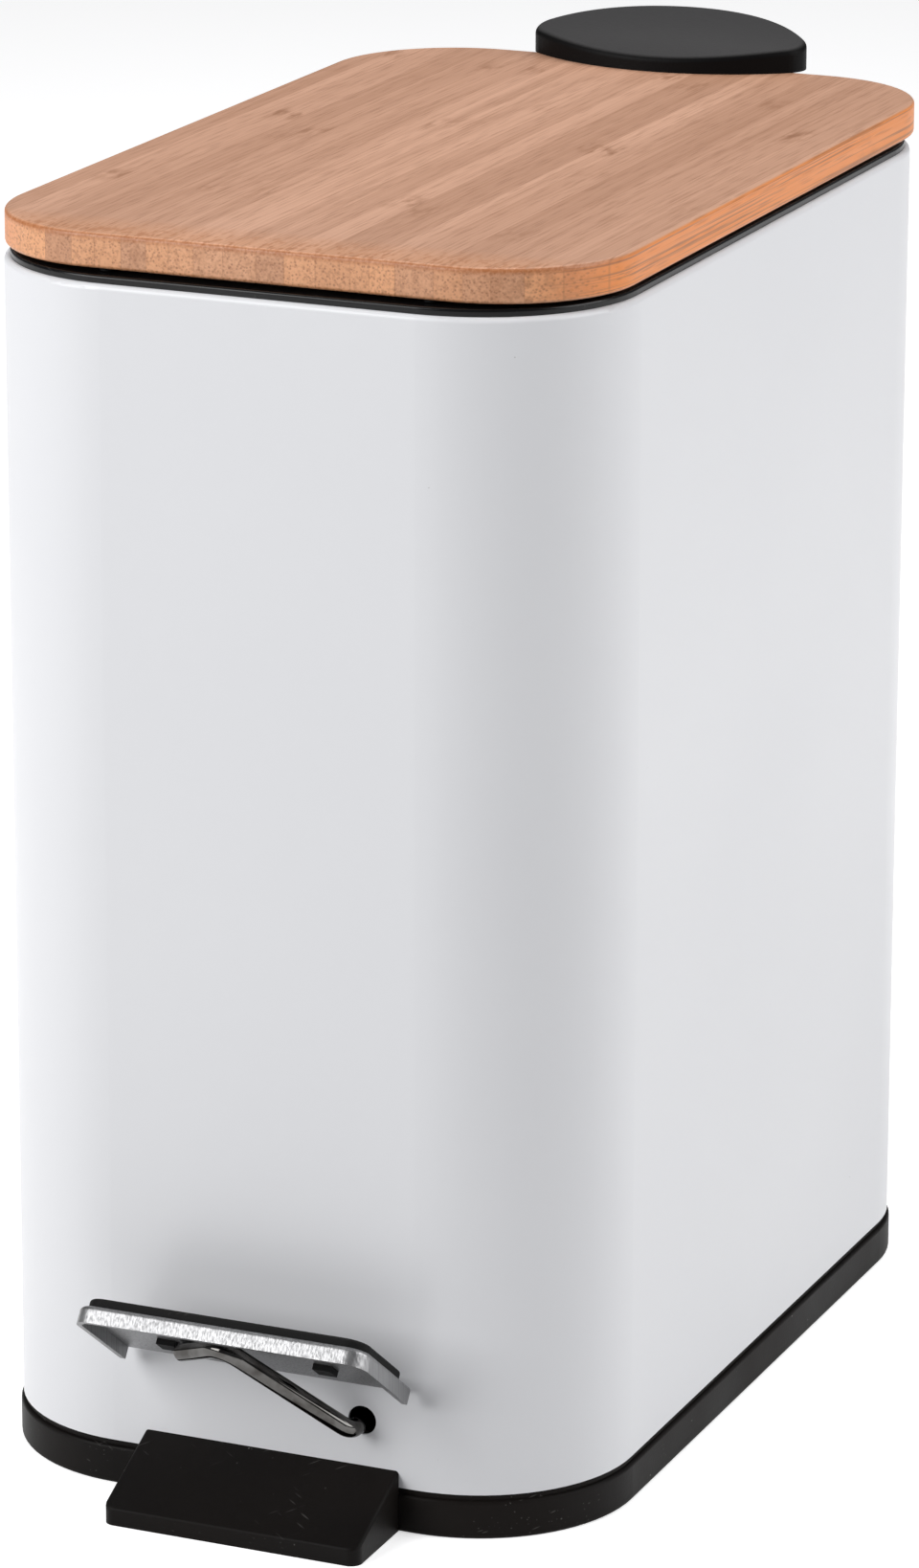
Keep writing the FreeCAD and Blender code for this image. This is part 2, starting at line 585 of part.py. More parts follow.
def make_pedal_rod():
    """One wire: hook under the plate, hole in the wall, long run, rear arm and its pin."""
    x, z = size("rod_x"), size("rod_height")
    under = -size("rod_radius") - size("seat_gap")
    arm_y = size("rear_arm_y")
    end_x, end_z = size("arm_end_x"), size("arm_end_z")
    points = [
        on_pedal(size("tip_x"), -size("tip_length"), under),
        on_pedal(size("apex_x"), -size("apex_length"), under),
        FreeCAD.Vector(x, size("wall_front") - size("rod_overhang"), z),
        FreeCAD.Vector(x, arm_y, z),
        FreeCAD.Vector(end_x, arm_y, end_z),
        FreeCAD.Vector(end_x, arm_y + size("rear_pin"), end_z),
    ]
    bend = size("rod_bend")
    path = bent_path(points, [size("apex_bend"), bend, bend, bend])
    profile = Part.Wire(Part.makeCircle(size("rod_radius"), points[0], points[1] - points[0]))
    wire = path.makePipeShell([profile], True, False)
    piece = doc.addObject("Part::Feature", "pedal_rod")
    piece.Shape = wire
    length = path.Length
    print("pedal rod", round(length, 1), "mm long, volume against section times length",
          round(wire.Volume / (math.pi * size("rod_radius") ** 2 * length), 4))
    return piece


# Lid: bamboo board, liner, bumpers and their screws

def make_lid_board():
    board = slab("board_outside", ("-dim.lid_right", "dim.lid_right"), ("dim.lid_front", "dim.lid_back"),
                 ("dim.lid_bottom", "dim.lid_top"), "dim.lid_corner",
                 top_round="dim.lid_arris", foot_round="dim.lid_arris")
    tools = []
    for name, x in cap_screw_places():
        tools.append(rod(f"board_{name}_hole", "z", "dim.screw_diameter + 2 * dim.screw_fit",
                         "dim.lid_bottom - dim.overrun", "dim.lid_top + dim.overrun", (x, "dim.cap_screw_y")))
        tools.append(rod(f"board_{name}_seat", "z", "dim.screw_head + 2 * dim.screw_fit",
                         "dim.lid_bottom - dim.overrun", "dim.lid_bottom + dim.cap_head_depth",
                         (x, "dim.cap_screw_y")))
    for name, x, y in liner_screw_places():
        tools.append(rod(f"board_{name}_hole", "z", "dim.lid_screw + 2 * dim.screw_fit",
                         "dim.lid_bottom - dim.overrun", "dim.lid_bottom + dim.lid_screw_bite", (x, y)))
    return label(cut("board_cut", board, tools), "lid_board")


def cap_screw_places():
    return [("cap_left", "-dim.cap_screw_x"), ("cap_right", "dim.cap_screw_x")]


def liner_screw_places():
    return [(f"liner_{side}_{end}", f"{x}dim.liner_screw_x", f"{y}dim.liner_screw_y")
            for side, x in (("left", "-"), ("right", "")) for end, y in (("front", "-"), ("back", ""))]


LINER_BOTTOM = "dim.lid_bottom - dim.liner_height"


def make_lid_liner():
    plate = slab("liner_outside", ("-dim.liner_right", "dim.liner_right"),
                 ("-dim.liner_back", "dim.liner_back"), (LINER_BOTTOM, "dim.lid_bottom"),
                 "dim.liner_corner", foot_round="dim.liner_edge")
    tools = []
    for name, x, y in liner_screw_places():
        tools.append(rod(f"{name}_hole", "z", "dim.lid_screw + 2 * dim.screw_fit",
                         f"{LINER_BOTTOM} - dim.overrun", "dim.lid_bottom + dim.overrun", (x, y)))
        tools.append(rod(f"{name}_seat", "z", "dim.lid_screw_head + 2 * dim.screw_fit",
                         f"{LINER_BOTTOM} - dim.overrun",
                         f"{LINER_BOTTOM} + dim.lid_screw_head_height", (x, y)))
    return label(cut("liner_cut", plate, tools), "lid_liner")


def make_liner_screws():
    seat = f"{LINER_BOTTOM} + dim.lid_screw_head_height"
    bite = "dim.liner_height - dim.lid_screw_head_height + dim.lid_screw_bite - dim.seat_gap"
    return group("liner_screws", [screw(f"{name}_screw", "z", seat, 1, bite, (x, y), "dim.lid_screw",
                                        "dim.lid_screw_head", "dim.lid_screw_head_height")
                                  for name, x, y in liner_screw_places()])


def make_lid_bumpers():
    dots = []
    rows = (("front", "dim.wall_front + dim.bumper_inset"), ("back", "dim.wall_back - dim.bumper_inset"))
    for end, y in rows:
        for side, sign in (("left", "-"), ("right", "")):
            x = f"{sign}(dim.wall_right - dim.bumper_side)"
            dots.append(rod(f"bumper_{end}_{side}", "z", "dim.bumper_diameter",
                            "dim.lid_bottom - dim.bumper_height", "dim.lid_bottom", (x, y)))
    return group("lid_bumpers", dots)


# Hinge cap: a lens in plan, hollow below, with two lugs on the hinge pin

def lens(name, wall, low, high):
    """Space between the cap's front and back arcs, wall inside them."""
    front = rod(f"{name}_front_arc", "z", f"2 * (dim.cap_front_radius - {wall})", low, high,
                ("0", "dim.cap_front_y + dim.cap_front_radius"))
    back = rod(f"{name}_back_arc", "z", f"2 * (dim.cap_back_radius - {wall})", low, high,
               ("0", "dim.cap_back_y - dim.cap_back_radius"))
    return front, back


def cap_dome(name, drop):
    """Ring that bulges under the cap's top, drop below it; its outer bend runs along X and along Y."""
    ring = doc.addObject("Part::Torus", name)
    ring.Placement = FreeCAD.Placement(FreeCAD.Vector(), TURN_TO_AXIS["y"])
    bind(ring, "Radius1", "dim.crown_sweep - dim.crown_radius")
    bind(ring, "Radius2", f"dim.crown_radius - {drop}")
    bind(ring, "Placement.Base.y", "dim.crown_y")
    bind(ring, "Placement.Base.z", "dim.crown_top - dim.crown_sweep")
    return ring


def make_hinge_cap():
    high = "dim.crown_top + dim.overrun"
    crown = common("cap_crown", [*lens("cap", "0", "dim.lid_top", high), cap_dome("cap_top", "0")])
    tip_x = size("cap_half_width") - size("cap_tip_round")
    above = size("lid_top") + size("overrun")

    def is_tip(edge):
        return is_upright(edge) and abs(edge.BoundBox.XMax) > tip_x

    def is_top(edge):
        return edge.BoundBox.ZMin > above

    tips = part_fillet("cap_tips", crown, is_tip, "cap_tip_round")
    rounded = part_fillet("cap_rounded", tips, is_top, "cap_edge")
    hollow = common("cap_hollow", [*lens("cap_inside", "dim.cap_wall", "dim.lid_top - dim.overrun", high),
                                   cap_dome("cap_ceiling", "dim.cap_wall")])
    bosses = [common(f"{name}_boss", [rod(f"{name}_post", "z", "dim.cap_boss", "dim.lid_top", high,
                                          (x, "dim.cap_screw_y")),
                                      cap_dome(f"{name}_dome", "dim.cap_wall / 2")])
              for name, x in cap_screw_places()]
    lugs = [part for side in ("left", "right") for part in lug(side)]
    solid = fuse("cap_solid", [cut("cap_shell", rounded, [hollow])] + bosses + lugs)
    tools = [rod("cap_pin_bore", "x", "dim.pin_diameter + 2 * dim.running_fit", "-dim.ear_inside",
                 "dim.ear_inside", ("dim.axis_y", "dim.axis_height")),
             rod("cap_tail_bore", "x", "dim.tail_pin + 2 * dim.running_fit", "-dim.ear_inside",
                 "dim.ear_inside", ("dim.tail_y", "dim.tail_z"))]
    for name, x in cap_screw_places():
        tools.append(rod(f"{name}_pilot", "z", "dim.screw_diameter + 2 * dim.screw_fit",
                         "dim.lid_top - dim.overrun", "dim.lid_top + dim.cap_screw_bite",
                         (x, "dim.cap_screw_y")))
    return label(cut("cap_cut", solid, tools), "hinge_cap")


def lug(side):
    """One hinge lug: web up into the cap, eye on the axis, eye for the tail pin."""
    sign = "-" if side == "left" else ""
    near, far = f"{sign}dim.lug_inside", f"{sign}dim.lug_outside"
    span = (far, near) if side == "left" else (near, far)
    web = block(f"lug_{side}_web", span, ("dim.axis_y - dim.lug_front", "dim.tail_y + dim.tail_eye"),
                ("dim.axis_height", "dim.crown_top - dim.cap_wall"))
    eye = rod(f"lug_{side}_eye", "x", "2 * dim.lug_radius", *span, ("dim.axis_y", "dim.axis_height"))
    return [web, eye]


def make_cap_screws():
    seat = "dim.lid_bottom + dim.cap_head_depth"
    bite = "dim.lid_thickness - dim.cap_head_depth + dim.cap_screw_bite - dim.seat_gap"
    return group("cap_screws", [screw(f"{name}_screw", "z", seat, 1, bite, (x, "dim.cap_screw_y"),
                                      "dim.screw_diameter", "dim.screw_head", "dim.screw_head_height")
                                for name, x in cap_screw_places()])


# Hinge bracket, pins and clip

def make_hinge_bracket():
    plate = block("bracket_plate_block", ("-dim.bracket_half_width", "dim.bracket_half_width"),
                  ("dim.wall_back", "dim.wall_back + dim.bracket_plate"), (BRACKET_LOW, BRACKET_TOP))
    pieces = [plate]
    axis = ("dim.axis_y", "dim.axis_height")
    for side, span in (("left", ("-dim.ear_outside", "-dim.ear_inside")),
                       ("right", ("dim.ear_inside", "dim.ear_outside"))):
        pieces.append(profile_pad(f"ear_{side}", "YZ_Plane",
                                  [("dim.wall_back", BRACKET_LOW),
                                   ("dim.wall_back + dim.bracket_plate", BRACKET_LOW),
                                   ("dim.axis_y + dim.ear_radius", "dim.axis_height - dim.ear_radius / 2"),
                                   ("dim.axis_y + dim.ear_radius", "dim.axis_height"),
                                   ("dim.axis_y - dim.ear_radius", "dim.axis_height"),
                                   ("dim.wall_back", BRACKET_TOP)], *span))
        pieces.append(rod(f"ear_{side}_eye", "x", "2 * dim.ear_radius", *span, axis))
    tools = [rod("bracket_pin_bore", "x", "dim.pin_diameter + 2 * dim.running_fit",
                 "-dim.ear_outside - dim.overrun", "dim.ear_outside + dim.overrun", axis)]
    for name, x, z in bracket_screw_places():
        tools.append(rod(f"{name}_bracket_hole", "y", "dim.screw_diameter + 2 * dim.screw_fit",
                         "dim.wall_back - dim.overrun", "dim.wall_back + dim.bracket_plate + dim.overrun",
                         (x, z)))
    return label(cut("bracket_cut", fuse("bracket_solid", pieces), tools), "hinge_bracket")


def make_hinge_pin():
    axis = ("dim.axis_y", "dim.axis_height")
    end = "dim.ear_outside + dim.clip_height + dim.pin_head_height"
    shank = rod("pin_shank", "x", "dim.pin_diameter", "-dim.ear_outside", end, axis)
    head = rod("pin_head_disc", "x", "dim.pin_head", "-dim.ear_outside - dim.pin_head_height",
               "-dim.ear_outside", axis)
    return label(fuse("pin_solid", [shank, head]), "hinge_pin")


def make_pin_clip():
    axis = ("dim.axis_y", "dim.axis_height")
    low, high = "dim.ear_outside", "dim.ear_outside + dim.clip_height"
    disc = rod("clip_disc", "x", "dim.clip_diameter", low, high, axis)
    bore = rod("clip_bore", "x", "dim.pin_diameter + 2 * dim.running_fit", f"{low} - dim.overrun",
               f"{high} + dim.overrun", axis)
    return label(cut("clip_cut", disc, [bore]), "pin_clip")


def make_tail_pin():
    pin = rod("tail_pin_shank", "x", "dim.tail_pin", "-dim.lug_outside", "dim.lug_outside",
              ("dim.tail_y", "dim.tail_z"))
    return label(pin, "tail_pin")


# Link: slotted head on the tail pin, straight stem, slotted foot on the rod's rear pin

def slotted(name, axis, diameter, low, high, span, centre):
    """Long hole along X or Y: two cylinders and the box between them."""
    half = f"({diameter}) / 2"
    ends = [rod(f"{name}_{i}", axis, diameter, low, high, (place, centre)) for i, place in enumerate(span)]
    through = (low, high)
    x, y = (through, span) if axis == "x" else (span, through)
    return ends + [block(f"{name}_middle", x, y, (f"{centre} - {half}", f"{centre} + {half}"))]


def make_pull_link():
    half = "dim.link_thickness / 2"
    stem_half = "dim.link_stem / 2"
    eye = "(dim.tail_pin / 2 + dim.slot_play + dim.link_eye_wall)"
    front = "dim.axis_y + dim.pin_diameter / 2 + dim.link_clearance"
    head_low = f"dim.tail_z - {eye}"
    head = block("link_head", (f"-{half}", half), (front, f"dim.tail_far + {eye}"),
                 (head_low, f"dim.tail_z + {eye}"))
    stem_y = (front, f"{front} + dim.link_stem")
    foot_low = "dim.arm_end_z - dim.rod_radius - dim.slot_play - dim.link_foot_margin"
    foot_high = "dim.arm_end_z + dim.rod_radius + dim.slot_play + dim.link_foot_margin"
    stem = block("link_stem_bar", (f"-{stem_half}", stem_half), stem_y, (foot_low, head_low))
    foot = block("link_foot", ("dim.arm_far_x - dim.rod_radius - dim.link_foot_margin", stem_half),
                 stem_y, (foot_low, foot_high))
    tools = slotted("link_head_slot", "x", "dim.tail_pin + 2 * dim.slot_play", f"-{half} - dim.overrun",
                    f"{half} + dim.overrun", ("dim.tail_y", "dim.tail_far"), "dim.tail_z")
    tools += slotted("link_foot_slot", "y", "dim.rod_diameter + 2 * dim.slot_play",
                     f"{stem_y[0]} - dim.overrun", f"{stem_y[1]} + dim.overrun",
                     ("dim.arm_far_x", "dim.arm_end_x"), "dim.arm_end_z")
    return label(cut("link_cut", fuse("link_solid", [head, stem, foot]), tools), "pull_link")


# Spine: cover behind the sleeve, open towards it

def make_rear_spine():
    half = "dim.spine_half_width"
    buried = "dim.wall_back - dim.spine_corner - dim.spine_wall"
    inner_back = "dim.spine_back - dim.spine_wall"
    outside = slab("spine_outside", (f"-{half}", half), (buried, "dim.spine_back"),
                   ("dim.spine_bottom", "dim.spine_top"), "dim.spine_corner",
                   top_round="dim.spine_edge", foot_round="dim.spine_edge")
    hollow = slab("spine_hollow", (f"-{half} + dim.spine_wall", f"{half} - dim.spine_wall"),
                  (f"{buried} - dim.overrun", inner_back),
                  ("dim.spine_bottom + dim.spine_wall", "dim.spine_top - dim.spine_wall"),
                  "dim.spine_corner - dim.spine_wall")
    sleeve = block("spine_sleeve_side", ("dim.wall_left", "dim.wall_right"), ("0", "dim.wall_back"),
                   ("0", "dim.body_top"))
    bosses = [rod(f"{name}_boss", "y", "dim.spine_boss", "dim.wall_back", inner_back, (x, z))
              for name, x, z in spine_screw_places()]
    shell = cut("spine_shell", outside, [hollow, sleeve])
    door_half = "dim.bracket_half_width + dim.ear_gap"
    doorway = block("spine_doorway", (f"-({door_half})", door_half), ("0", inner_back),
                    ("dim.spine_top - dim.spine_wall - dim.overrun", "dim.spine_top + dim.overrun"))
    pilots = [rod(f"{name}_pilot", "y", "dim.screw_diameter + 2 * dim.screw_fit",
                  "dim.wall_back - dim.overrun", "dim.wall_back + dim.screw_bite", (x, z))
              for name, x, z in spine_screw_places()]
    return label(cut("spine_cut", fuse("spine_solid", [shell] + bosses), [doorway] + pilots), "rear_spine")


PIECES = [
    make_base(), make_keepers(), make_keeper_screws(), make_body_shell(), make_top_rim(), make_inner_bucket(),
    make_pedal_plate(), make_pedal_pad(), make_pedal_rod(),
    make_lid_board(), make_lid_liner(), make_liner_screws(), make_lid_bumpers(),
    make_hinge_cap(), make_cap_screws(), make_hinge_bracket(), make_hinge_pin(), make_pin_clip(),
    make_tail_pin(), make_pull_link(), make_rear_spine(),
    make_rear_screws("spine_screws", spine_screw_places(), "dim.wall + dim.screw_bite - dim.seat_gap"),
    make_rear_screws("bracket_screws", bracket_screw_places(),
                     "dim.wall + dim.bracket_plate + dim.screw_fit"),
]
doc.recompute()

failed = [thing.Name for thing in doc.Objects if "Invalid" in thing.State or "Error" in thing.State]
if failed:
    raise RuntimeError(f"failed objects: {failed}")
for piece in PIECES:
    if piece.Shape.isNull() or not piece.Shape.isValid():
        raise RuntimeError(f"bad shape: {piece.Label}")

os.makedirs("parts", exist_ok=True)
for piece in PIECES:
    piece.Shape.exportStep(f"parts/{piece.Label}.step")
    print(piece.Label, len(piece.Shape.Solids), "solids", round(piece.Shape.Volume), "mm3")
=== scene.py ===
import math

import bpy
from mathutils import Matrix, Vector


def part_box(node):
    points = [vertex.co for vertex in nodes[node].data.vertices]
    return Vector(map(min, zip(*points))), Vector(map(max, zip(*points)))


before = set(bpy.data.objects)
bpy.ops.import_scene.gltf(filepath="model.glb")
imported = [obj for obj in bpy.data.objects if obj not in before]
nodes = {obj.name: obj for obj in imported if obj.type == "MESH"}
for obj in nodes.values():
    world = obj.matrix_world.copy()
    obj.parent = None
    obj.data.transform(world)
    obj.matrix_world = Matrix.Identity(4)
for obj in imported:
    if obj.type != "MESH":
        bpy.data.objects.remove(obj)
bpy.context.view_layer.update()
print("frame loaded:", len(nodes), "nodes")


# node helpers: a socket's value is a number, a colour or another node's output
def setSocket(tree, socket, value):
    if isinstance(value, bpy.types.NodeSocket):
        tree.links.new(value, socket)
    else:
        socket.default_value = value


def addNode(tree, kind, sockets=None, **settings):
    node = tree.nodes.new("ShaderNode" + kind)
    for key, value in settings.items():
        setattr(node, key, value)
    for key, value in (sockets or {}).items():
        setSocket(tree, node.inputs[key], value)
    return node


def calc(tree, operation, *values):
    return addNode(tree, "Math", dict(enumerate(values)), operation=operation).outputs[0]


def product(tree, first, *others):
    for other in others:
        first = calc(tree, "MULTIPLY", first, other)
    return first


# a ramp is given as from low, from high and, if not 0 and 1, to low, to high; it holds its end values
def remap(tree, value, low, high, toLow=0.0, toHigh=1.0):
    return addNode(tree, "MapRange", {"Value": value, "From Min": low, "From Max": high,
                                      "To Min": toLow, "To Max": toHigh}).outputs["Result"]


# inputs 6 and 7 and output 2 are the Mix node's colour sockets
def mixColour(tree, share, first, second, blend="MIX"):
    sockets = {0: share, 6: first, 7: second}
    return addNode(tree, "Mix", sockets, data_type="RGBA", blend_type=blend).outputs[2]


def stretched(tree, scale, turn=(0, 0, 0)):
    coords = addNode(tree, "TexCoord").outputs["Object"]
    turned = addNode(tree, "Mapping", {"Vector": coords, "Rotation": turn}).outputs["Vector"]
    return addNode(tree, "Mapping", {"Vector": turned, "Scale": scale}).outputs["Vector"]


def splitAxes(tree, vector):
    return addNode(tree, "SeparateXYZ", {0: vector}).outputs


def noise(tree, vector, scale=1.0, detail=2.0, rough=0.5):
    return addNode(tree, "TexNoise", {"Vector": vector, "Scale": scale, "Detail": detail,
                                      "Roughness": rough}).outputs["Fac"]


def cellDistance(tree, vector, scale=1.0):
    return addNode(tree, "TexVoronoi", {"Vector": vector, "Scale": scale}).outputs["Distance"]


def newFinish(name, fixed):
    mat = bpy.data.materials.new(name)
    mat.use_nodes = True
    tree = mat.node_tree
    shader = tree.nodes["Principled BSDF"]
    for key, value in fixed.items():
        shader.inputs[key].default_value = value
    return mat, tree, shader


def addBump(tree, shader, height, strength, distance):
    bump = addNode(tree, "Bump", {"Height": height, "Strength": strength, "Distance": distance})
    tree.links.new(bump.outputs["Normal"], shader.inputs["Normal"])


# camera: turned and raised round a point over the floor, lengths in metres, angles in degrees
camera = {
    "azimuth": 23.1408, "elevation": 16.7619, "roll": 0.1328, "distance": 1.4967,
    "aside": -0.00287, "height": 0.1294, "focalPixels": 7057.0, "longSidePixels": 1638,
    "sensor": 36.0, "clip": (0.05, 50.0),
}


def placeCamera(c):
    a, e, r = (math.radians(c[k]) for k in ("azimuth", "elevation", "roll"))
    back = Vector((math.sin(a) * math.cos(e), -math.cos(a) * math.cos(e), math.sin(e)))
    right = Vector((math.cos(a), math.sin(a), 0.0))
    up = back.cross(right)
    turnedRight = math.cos(r) * right + math.sin(r) * up
    turnedUp = math.cos(r) * up - math.sin(r) * right
    data = bpy.data.cameras.new("photoCamera")
    data.sensor_width = c["sensor"]
    data.lens = c["focalPixels"] * c["sensor"] / c["longSidePixels"]
    data.clip_start, data.clip_end = c["clip"]
    cam = bpy.data.objects.new("photoCamera", data)
    cam.matrix_world = Matrix((turnedRight, turnedUp, back)).transposed().to_4x4()
    cam.location = Vector((0, 0, c["height"])) + right * c["aside"] + back * c["distance"]
    bpy.context.scene.collection.objects.link(cam)
    bpy.context.scene.camera = cam


placeCamera(camera)

# studio: pale floor, even sky, soft boxes; a box is (place, target, width, height, watts)
studio = {
    "floorHalf": 4.0, "floorRoughness": 0.9, "floorColour": (0.42, 0.42, 0.42, 1),
    "floorSeen": (0.95, 0.95, 0.95, 1), "floorGlow": 0.55, "glowColour": (1, 1, 1, 1),
    "sky": (0.95, 0.96, 1.0, 1), "skyStrength": 0.16,
    "boxes": {
        "leftBox": ((-0.95, -1.27, 0.95), (0, -0.05, 0.15), 1.0, 1.3, 27.0),
        "rightBox": ((1.47, 0.15, 0.85), (0, 0.0, 0.13), 1.1, 1.3, 17.3),
        "topBox": ((-0.1, 0.5, 1.5), (0, 0.0, 0.2), 1.2, 1.2, 9.0),
    },
}


# the floor is seen whiter than it lights the object, and keeps its shadow
def floorPaper(s):
    mat, tree, shader = newFinish("floorPaper", {"Roughness": s["floorRoughness"],
                                                 "Emission Color": s["glowColour"]})
    path = addNode(tree, "LightPath").outputs
    seen = path["Is Camera Ray"]
    for other in ("Is Glossy Ray", "Is Transmission Ray"):
        seen = calc(tree, "MAXIMUM", seen, path[other])
    paper = mixColour(tree, seen, s["floorColour"], s["floorSeen"])
    tree.links.new(paper, shader.inputs["Base Color"])
    tree.links.new(calc(tree, "MULTIPLY", seen, s["floorGlow"]), shader.inputs["Emission Strength"])
    return mat


def addStudio(s):
    h = s["floorHalf"]
    mesh = bpy.data.meshes.new("floor")
    mesh.from_pydata([(-h, -h, 0), (h, -h, 0), (h, h, 0), (-h, h, 0)], [], [(0, 1, 2, 3)])
    mesh.materials.append(floorPaper(s))
    floor = bpy.data.objects.new("floor", mesh)
    bpy.context.scene.collection.objects.link(floor)
    world = bpy.data.worlds.new("studioSky")
    world.use_nodes = True
    sky = world.node_tree.nodes["Background"]
    sky.inputs["Color"].default_value = s["sky"]
    sky.inputs["Strength"].default_value = s["skyStrength"]
    bpy.context.scene.world = world
    for name, (place, target, width, height, watts) in s["boxes"].items():
        data = bpy.data.lights.new(name, "AREA")
        data.shape = "RECTANGLE"
        data.size, data.size_y, data.energy = width, height, watts
        lamp = bpy.data.objects.new(name, data)
        lamp.location = place
        lamp.rotation_euler = (Vector(target) - Vector(place)).to_track_quat("-Z", "Y").to_euler()
        bpy.context.scene.collection.objects.link(lamp)


addStudio(studio)
bpy.context.scene.view_settings.view_transform = "Standard"
print("camera and studio placed")

# in the looks below a scale is in features per metre, one number or one for each of x, y and z

# satin paint on steel: fine orange peel, slow change of tone and gloss, a few dust specks
whitePaintLook = {
    "light": (0.80, 0.805, 0.825, 1), "shade": (0.77, 0.775, 0.80, 1), "speck": (0.55, 0.55, 0.56, 1),
    "slowScale": 9.0, "speckScale": 160.0, "rareScale": 60.0, "peelScale": 1100.0,
    "speckRamp": (0.035, 0.02), "rareRamp": (0.62, 0.66), "glossRamp": (0.3, 0.7, 0.30, 0.38),
    "ior": 1.5, "peelStrength": 0.06, "peelDepth": 0.0001,
}


def whitePaint(look):
    mat, tree, shader = newFinish("whitePaint", {"IOR": look["ior"]})
    even = stretched(tree, (1, 1, 1))
    slow = noise(tree, even, look["slowScale"], 3)
    specks = remap(tree, cellDistance(tree, even, look["speckScale"]), *look["speckRamp"])
    rare = remap(tree, noise(tree, even, look["rareScale"], 1), *look["rareRamp"])
    tone = mixColour(tree, slow, look["light"], look["shade"])
    dusty = mixColour(tree, product(tree, specks, rare), tone, look["speck"])
    tree.links.new(dusty, shader.inputs["Base Color"])
    tree.links.new(remap(tree, slow, *look["glossRamp"]), shader.inputs["Roughness"])
    peel = noise(tree, even, look["peelScale"], 1)
    addBump(tree, shader, peel, look["peelStrength"], look["peelDepth"])
    return mat


# bamboo: glued strips of uneven width that run front to back; fibres are long threads on the top
# and the sides and dots on the ends, and each strip has soft growth marks at its own places
bambooLook = {
    "pale": (0.76, 0.435, 0.29, 1), "deep": (0.50, 0.258, 0.155, 1), "fibre": (0.25, 0.095, 0.04, 1),
    "mark": (0.32, 0.135, 0.06, 1), "endPale": (0.82, 0.425, 0.235, 1), "endTint": (1.0, 0.94, 0.84, 1),
    "sideOrange": (0.88, 0.26, 0.03, 1), "arris": (0.40, 0.13, 0.035, 1),
    "sanded": (0.74, 0.345, 0.165, 1),
    # strips and growth marks, in metres, and how far the marks are shifted from strip to strip
    "stripWidth": 0.0062, "stripUneven": 0.75, "markEvery": 0.15, "markShift": 9.0,
    "streakScale": (330, 9, 330), "grainScale": (1500, 11, 1500), "threadScale": (1350, 75, 1350),
    "poreScale": (1500, 1500, 1500), "longPoreScale": (1050, 360, 1050), "lineScale": (30, 9, 1900),
    "smudgeScale": (520, 150, 520),
    "endFacing": (0.45, 0.85), "sideFacing": (0.55, 0.95), "toneRamp": (0.0, 1.0, 0.05, 0.75),
    "streakRamp": (0.42, 0.68, 0.0, 0.6), "grainRamp": (0.45, 0.75, 0.0, 0.45), "fibreRamp": (0.42, 0.15),
    "paleRamp": (0.2, 0.8, 0.0, 0.85), "poreRamp": (0.48, 0.66, 0.0, 0.4),
    "longPoreRamp": (0.5, 0.62, 0.0, 0.6), "lineRamp": (0.52, 0.62), "nearRamp": (0.06, 0.01),
    "smudgeRamp": (0.44, 0.66), "markRamp": (0.3, 0.8, 0.25, 0.85), "seamRamp": (0.03, 0.0, 0.0, 0.35),
    "specklingRamp": (0.3, 0.6, 0.4, 1.0), "glossRamp": (0.3, 0.7, 0.36, 0.5),
    "sandedShare": 0.5, "sideShare": 0.8, "lineShare": 0.75, "arrisShare": 0.9,
    "fibreShare": 0.32, "fibreMoreOnEnd": 0.25,
    # the sanded zone reaches back from the front edge, the arris lies below the top, in metres
    "sandedFrom": 0.016, "sandedFull": 0.004, "sandedMost": 0.9,
    "arrisLow": (0.0016, 0.0006), "arrisHigh": (0.00002, 0.0003), "arrisFront": (-0.07, -0.1),
    "ior": 1.5, "grainHeight": 0.5, "bumpStrength": 0.12, "bumpDepth": 0.0002,
}


